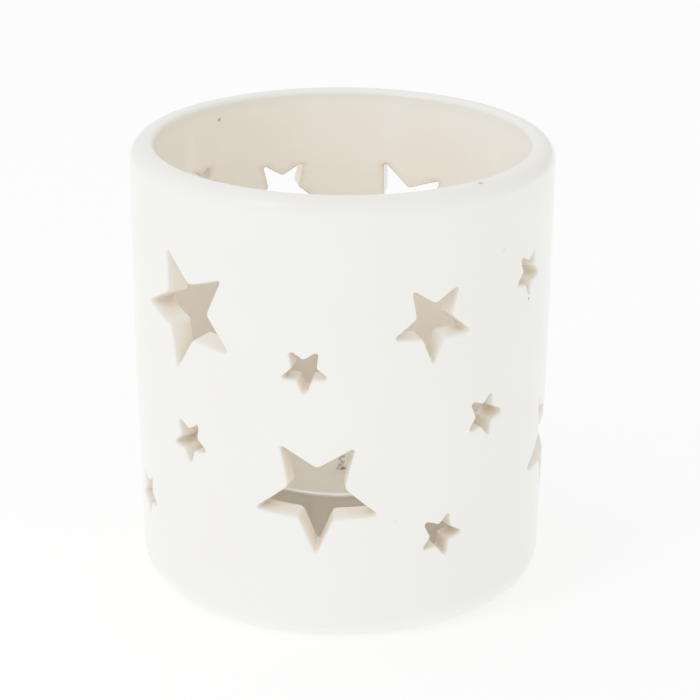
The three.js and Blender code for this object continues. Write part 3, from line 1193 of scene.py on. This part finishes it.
@dataclass(frozen=True)
class CeramicGlaze(Finish):
    """White glossy glaze: thin and creamy on edges and inside the cuts, where painted shade also
    darkens it, deeper painted shade in the cuts' points, and painted bounce light that makes it
    brighter and warmer within the pot.
    """

    name: str = "white_glazed_ceramic"
    outside: Colour = (0.806, 0.802, 0.732)
    outside_deep: Colour = (0.790, 0.776, 0.702)
    # Painted bounce light: brighter, warmer copies of the glaze for the inside of the pot.
    inside: Colour = (0.92, 0.862, 0.77)
    inside_deep: Colour = (0.9, 0.828, 0.725)
    # Thin glaze over the clay, its colour also darkened as painted shade inside the cuts.
    thin: Colour = (0.79, 0.70, 0.585)
    # Painted shade deep in the cuts' narrow points.
    stained: Colour = (0.62, 0.48, 0.33)
    bare: Colour = (0.80, 0.76, 0.69)
    speck: Colour = (0.30, 0.28, 0.25)
    speck_strength: float = 0.16
    thin_strength: float = 0.8
    bare_shade: float = 0.86
    roughness: float = 0.13
    thin_roughness: float = 0.07
    bare_roughness: float = 0.75
    ripple_depth: float = 0.00003
    ior: float = 1.5
    marks: tuple[GlazeMark, ...] = (
        GlazeMark(223.0, 76.6, 0.5, 1.0, (0.36, 0.19, 0.08), 0.75, 4.26),
        GlazeMark(41.1, 79.95, 0.75, 2.4, (0.35, 0.18, 0.09), 0.7, 2.2),
        GlazeMark(60.1, 57.0, 0.45, 1.0, (0.10, 0.08, 0.06), 0.8),
        GlazeMark(47.2, 67.8, 0.55, 1.0, (0.62, 0.52, 0.36), 0.5),
        GlazeMark(14.8, 22.6, 0.5, 1.0, (0.55, 0.48, 0.40), 0.4),
    )

    def dress(self, piece: bpy.types.Object, effects: Effects, holder: Holder) -> None:
        """Builds the glaze and gives it to the body.

        Args:
            piece: The ceramic body.
            effects: The shared node groups.
            holder: The body's sizes, for the places of the marks.
        """
        material, nodes, shader = self.start()
        thin, inner, bare, stain = (
            nodes.mark(name) for name in ("thin_glaze", "inner_glaze", "dry_clay", "tip_stain"))
        cloud = nodes.group(effects.cloud, Scale=55.0, Detail=3.0, Spread=0.22)
        fine = nodes.group(effects.cloud, Scale=420.0, Detail=5.0, Spread=0.3)
        outside = nodes.mix(cloud, self.outside, self.outside_deep)
        # Painted bounce light: the inside of the pot, and the cuts towards it, are brighter and
        # warmer.
        inside = nodes.mix(cloud, self.inside, self.inside_deep)
        colour = nodes.mix(inner, outside, inside)
        # Thin glaze, with painted shade inside the cuts.
        patchy = nodes.maths("MULTIPLY", thin, nodes.ramp(fine, 0.0, 1.0, (0.55, 1.0)))
        colour = nodes.mix(nodes.maths("MULTIPLY", patchy, self.thin_strength), colour, self.thin)
        # Painted shade deep in the cuts' narrow points.
        pooled = nodes.maths("MULTIPLY", stain, nodes.ramp(fine, 0.2, 0.9, (0.15, 0.75)))
        colour = nodes.mix(pooled, colour, self.stained)
        speck = nodes.group(effects.specks, Scale=210.0, Share=0.035, Size=0.075)
        colour = nodes.mix(nodes.maths("MULTIPLY", speck, self.speck_strength), colour, self.speck)
        for mark in self.marks:
            azimuth = math.radians(mark.azimuth)
            reach = float(holder.outside_radius(np.array(mark.z))) - mark.inset
            spot = nodes.group(effects.dot, X=reach * math.sin(azimuth),
                               Y=-reach * math.cos(azimuth), Z=mark.z, Size=mark.size,
                               Flatness=mark.flatness)
            colour = nodes.mix(nodes.maths("MULTIPLY", spot, mark.strength), colour, mark.colour)
        clay = nodes.mix(fine, self.bare, tuple(self.bare_shade * part for part in self.bare))
        colour = nodes.mix(bare, colour, clay)
        nodes.feed(shader.inputs["Base Color"], colour)
        gloss = nodes.ramp(cloud, 0.0, 1.0, (self.roughness, self.roughness + 0.05))
        gloss = nodes.maths("ADD", gloss, nodes.maths("MULTIPLY", thin, self.thin_roughness))
        dull = nodes.add("Mix", data_type="FLOAT")
        nodes.feed(dull.inputs[0], bare)
        nodes.feed(dull.inputs[2], gloss)
        nodes.feed(dull.inputs[3], self.bare_roughness)
        nodes.feed(shader.inputs["Roughness"], dull.outputs[0])
        ripple = nodes.group(effects.cloud, Scale=150.0, Detail=2.0, Spread=0.5)
        height = nodes.maths("ADD", nodes.maths("MULTIPLY", ripple, 0.7),
                             nodes.maths("MULTIPLY", fine, nodes.ramp(bare, 0.0, 1.0, (0.05, 1.0))))
        bump = nodes.add("Bump", Height=height, Distance=self.ripple_depth, Strength=0.6)
        nodes.feed(shader.inputs["Normal"], bump.outputs["Normal"])
        shader.inputs["IOR"].default_value = self.ior
        piece.data.materials.append(material)


@dataclass(frozen=True)
class SheetMetal(Finish):
    """Thin bright sheet, rolled or tinned: fine lines, soft clouding and a few scuffs."""

    name: str
    colour: Colour
    shade: Colour
    roughness: float
    lines: float

    def dress(self, piece: bpy.types.Object, effects: Effects) -> None:
        """Builds the metal and gives it to a piece.

        Args:
            piece: The piece to finish.
            effects: The shared node groups.
        """
        material, nodes, shader = self.start()
        cloud = nodes.group(effects.cloud, Scale=90.0, Detail=4.0, Spread=0.25)
        speck = nodes.group(effects.specks, Scale=900.0, Share=0.05, Size=0.2)
        at = nodes.add("SeparateXYZ", Vector=nodes.add("TexCoord").outputs["Object"])
        rolled = nodes.maths("SINE", nodes.maths("MULTIPLY", at.outputs["Z"], self.lines))
        drawn = nodes.ramp(rolled, -1.0, 1.0, (0.0, 1.0))
        colour = nodes.mix(cloud, self.colour, self.shade)
        colour = nodes.mix(nodes.maths("MULTIPLY", speck, 0.4), colour, self.shade)
        nodes.feed(shader.inputs["Base Color"], colour)
        rough = nodes.maths("ADD", nodes.maths("MULTIPLY", cloud, 0.12), self.roughness)
        nodes.feed(shader.inputs["Roughness"], nodes.maths("ADD", rough,
                                                          nodes.maths("MULTIPLY", speck, 0.2)))
        height = nodes.maths("ADD", nodes.maths("MULTIPLY", drawn, 0.3), cloud)
        bump = nodes.add("Bump", Height=height, Distance=0.00002, Strength=0.5)
        nodes.feed(shader.inputs["Normal"], bump.outputs["Normal"])
        shader.inputs["Metallic"].default_value = 1.0
        piece.data.materials.append(material)


ALUMINIUM = SheetMetal(
    "rolled_aluminium_cup", (0.94, 0.935, 0.925), (0.86, 0.855, 0.85), 0.42, 9000.0)
TINPLATE = SheetMetal(
    "tinned_steel_plate", (0.68, 0.68, 0.69), (0.52, 0.52, 0.53), 0.36, 14000.0)


@dataclass(frozen=True)
class Paraffin(Finish):
    """Satin ivory wax, a little clearer and warmer where it climbs at the cup."""

    name: str = "ivory_paraffin_wax"
    colour: Colour = (0.80, 0.765, 0.69)
    shade: Colour = (0.76, 0.71, 0.62)
    edge: Colour = (0.70, 0.63, 0.53)
    speck: Colour = (0.90, 0.88, 0.83)
    roughness: float = 0.38

    def dress(self, piece: bpy.types.Object, effects: Effects) -> None:
        """Builds the wax and gives it to a piece.

        Args:
            piece: The wax.
            effects: The shared node groups.
        """
        material, nodes, shader = self.start()
        cloud = nodes.group(effects.cloud, Scale=130.0, Detail=5.0, Spread=0.28)
        fine = nodes.group(effects.cloud, Scale=900.0, Detail=3.0, Spread=0.3)
        speck = nodes.group(effects.specks, Scale=500.0, Share=0.06, Size=0.12)
        colour = nodes.mix(cloud, self.colour, self.shade)
        colour = nodes.mix(nodes.mark("edge_wax"), colour, self.edge)
        colour = nodes.mix(nodes.maths("MULTIPLY", speck, 0.25), colour, self.speck)
        nodes.feed(shader.inputs["Base Color"], colour)
        nodes.feed(shader.inputs["Roughness"],
                   nodes.ramp(cloud, 0.0, 1.0, (self.roughness, self.roughness + 0.14)))
        height = nodes.maths("ADD", nodes.maths("MULTIPLY", fine, 0.3), cloud)
        bump = nodes.add("Bump", Height=height, Distance=0.00006, Strength=0.6)
        nodes.feed(shader.inputs["Normal"], bump.outputs["Normal"])
        shader.inputs["Subsurface Weight"].default_value = 0.25
        shader.inputs["Subsurface Radius"].default_value = (1.0, 0.7, 0.45)
        shader.inputs["Subsurface Scale"].default_value = 0.0015
        piece.data.materials.append(material)


@dataclass(frozen=True)
class CottonYarn(Finish):
    """Waxed cotton yarn: painted shade between its plies, with loose fibres lighter on top."""

    name: str = "waxed_cotton_wick"
    colour: Colour = (0.92, 0.90, 0.86)
    shade: Colour = (0.83, 0.79, 0.72)

    def dress(self, piece: bpy.types.Object, effects: Effects) -> None:
        """Builds the cotton and gives it to a piece.

        Args:
            piece: The wick.
            effects: The shared node groups.
        """
        material, nodes, shader = self.start()
        fuzz = nodes.group(effects.cloud, Scale=4200.0, Detail=3.0, Spread=0.25)
        groove = nodes.mark("fibre")
        # Painted shade: the grooves between the plies are darker.
        colour = nodes.mix(nodes.maths("MULTIPLY", groove, 0.7), self.colour, self.shade)
        colour = nodes.mix(nodes.maths("MULTIPLY", fuzz, 0.3), colour, self.shade)
        nodes.feed(shader.inputs["Base Color"], colour)
        nodes.feed(shader.inputs["Roughness"], nodes.ramp(fuzz, 0.0, 1.0, (0.6, 0.85)))
        bump = nodes.add("Bump", Height=fuzz, Distance=0.00001, Strength=0.4)
        nodes.feed(shader.inputs["Normal"], bump.outputs["Normal"])
        shader.inputs["Sheen Weight"].default_value = 0.3
        piece.data.materials.append(material)


# ---- Studio ----------------------------------------------------------------------------------


@dataclass(frozen=True)
class SoftBox:
    """A rectangular light that faces the holder: its direction, distance, size and power."""

    name: str
    azimuth: float
    rise: float
    distance: float
    size: tuple[float, float]
    power: float
    colour: Colour = (1.0, 1.0, 1.0)

    def hang(self, target: Vector) -> None:
        """Adds the light, turned towards the target."""
        lamp = bpy.data.lights.new(self.name, "AREA")
        lamp.shape = "RECTANGLE"
        lamp.size, lamp.size_y = self.size
        lamp.energy = self.power
        lamp.color = self.colour
        lift, turn = math.radians(self.rise), math.radians(self.azimuth)
        away = Vector((math.cos(lift) * math.sin(turn), -math.cos(lift) * math.cos(turn),
                       math.sin(lift)))
        stand = bpy.data.objects.new(self.name, lamp)
        stand.location = target + away * self.distance
        stand.rotation_euler = away.to_track_quat("Z", "Y").to_euler()
        bpy.context.scene.collection.objects.link(stand)


@dataclass(frozen=True)
class Studio:
    """Pale floor, white surroundings, softboxes and the camera.

    The surroundings shine at the ambient strength, times the overhead share straight up and the
    right_side share to the right. The film's points are pairs of light and tone shown.
    """

    ambient: float = 0.87
    overhead: float = 1.27
    right_side: float = 0.68
    white_level: float = 1.5
    film: tuple[tuple[float, float], ...] = ((0.293, 0.54), (0.453, 0.735), (0.667, 0.87))
    floor_glow: float = 0.42
    floor_colour: Colour = (0.95, 0.95, 0.95)
    floor_radius: float = 2.5
    lit_height: float = 0.04
    camera_at: tuple[float, float, float] = (0.0, -0.51707, 0.22678)
    camera_down: float = 19.77
    camera_right: float = 0.164
    camera_roll: float = 0.302
    camera_lens: float = 158.6
    boxes: tuple[SoftBox, ...] = (
        SoftBox("key_softbox", -48.0, 35.0, 1.3, (0.42, 0.9), 3.0),
        SoftBox("fill_softbox", 41.0, 35.0, 1.3, (0.4, 0.9), 0.8),
        SoftBox("side_softbox", -105.0, 25.0, 1.5, (1.0, 1.0), 0.5),
    )

    def surround(self) -> None:
        """Gives the world a soft white that changes smoothly upwards and to the right."""
        world = bpy.data.worlds.new("white_surroundings")
        world.use_nodes = True
        nodes = Nodes(world.node_tree)
        towards = nodes.add("SeparateXYZ", Vector=nodes.add("TexCoord").outputs["Generated"])
        above = (self.ambient, self.ambient * self.overhead)
        light = nodes.maths("MULTIPLY", nodes.ramp(towards.outputs["Z"], 0.1, 0.9, above),
                            nodes.ramp(towards.outputs["X"], -0.3, 0.9, (1.0, self.right_side)))
        background = world.node_tree.nodes["Background"]
        background.inputs["Color"].default_value = (1.0, 1.0, 1.0, 1.0)
        nodes.feed(background.inputs["Strength"], light)
        bpy.context.scene.world = world

    def lay_floor(self) -> None:
        """Lays the floor: a flat disc on a polar grid, level with the foot ring."""
        disc = Shell()
        rings = np.linspace(0.05, 1, 12)[::-1, None] * np.array([[self.floor_radius / MM, 0.0]])
        points, normals = revolve(rings, 96)
        numbers = disc.add_points(points, normals)
        disc.add_grid(numbers)
        disc.add_pole(numbers[-1], 0.0, up=True)
        floor = disc.build("studio_floor")
        material = bpy.data.materials.new("pale_floor")
        material.use_nodes = True
        shader = material.node_tree.nodes["Principled BSDF"]
        shader.inputs["Base Color"].default_value = (*self.floor_colour, 1.0)
        shader.inputs["Roughness"].default_value = 0.6
        shader.inputs["Emission Color"].default_value = (1.0, 1.0, 1.0, 1.0)
        shader.inputs["Emission Strength"].default_value = self.floor_glow
        floor.data.materials.append(material)

    def aim_camera(self) -> None:
        """Sets up the camera: pitched down, a touch to the right, with a slight roll."""
        camera = bpy.data.cameras.new("catalogue_camera")
        camera.lens = self.camera_lens
        camera.sensor_width = 36.0
        camera.clip_start = 0.01
        stand = bpy.data.objects.new("catalogue_camera", camera)
        turn = (Matrix.Rotation(math.radians(-self.camera_right), 4, "Z")
                @ Matrix.Rotation(math.radians(90.0 - self.camera_down), 4, "X")
                @ Matrix.Rotation(math.radians(self.camera_roll), 4, "Z"))
        stand.matrix_world = Matrix.Translation(self.camera_at) @ turn
        bpy.context.scene.collection.objects.link(stand)
        bpy.context.scene.camera = stand

    def develop(self) -> None:
        """Sets the film response: a soft shoulder that keeps detail in the whites."""
        view = bpy.context.scene.view_settings
        view.view_transform = "Standard"
        view.use_curve_mapping = True
        view.curve_mapping.white_level = (self.white_level,) * 3
        for light, shown in self.film:
            view.curve_mapping.curves[3].points.new(light, shown)
        view.curve_mapping.update()

    def build(self) -> None:
        """Sets up everything that isn't part of the holder."""
        self.surround()
        self.lay_floor()
        for box in self.boxes:
            box.hang(Vector((0.0, 0.0, self.lit_height)))
        self.aim_camera()
        self.develop()


def main() -> None:
    """Builds the holder, the tealight and the studio, and reports each piece."""
    logging.basicConfig(level=logging.INFO, format="%(message)s")
    effects = Effects()
    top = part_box("ceramic_body")[1]
    holder = Holder(height=top.z / MM, radius=top.x / MM)
    body = holder.build()
    CeramicGlaze().dress(body, effects, holder)
    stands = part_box("tealight_cup")[0].z / MM
    tealight = Tealight(base=stands)
    cup, wax, wick, sustainer = (
        tealight.cup(), tealight.wax(), tealight.wick(), tealight.sustainer())
    ALUMINIUM.dress(cup, effects)
    TINPLATE.dress(sustainer, effects)
    Paraffin().dress(wax, effects)
    CottonYarn().dress(wick, effects)
    rides = (
        (body, "holder", "ceramic_body", "glazed_ceramic"),
        (cup, "tealight", "tealight_cup", "aluminium_foil"),
        (wax, "tealight", "tealight_wax", "paraffin_wax"),
        (wick, "tealight", "wick", "cotton_wick"),
        (sustainer, "tealight", "wick_sustainer", "tinned_steel"),
    )
    for piece, moves_with, node, slot in rides:
        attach(piece, moves_with)
        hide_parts(node)
        log.info("%s rides on %s and stands for %s", piece.name, moves_with, node)
    Studio().build()


if __name__ == "__main__":
    main()
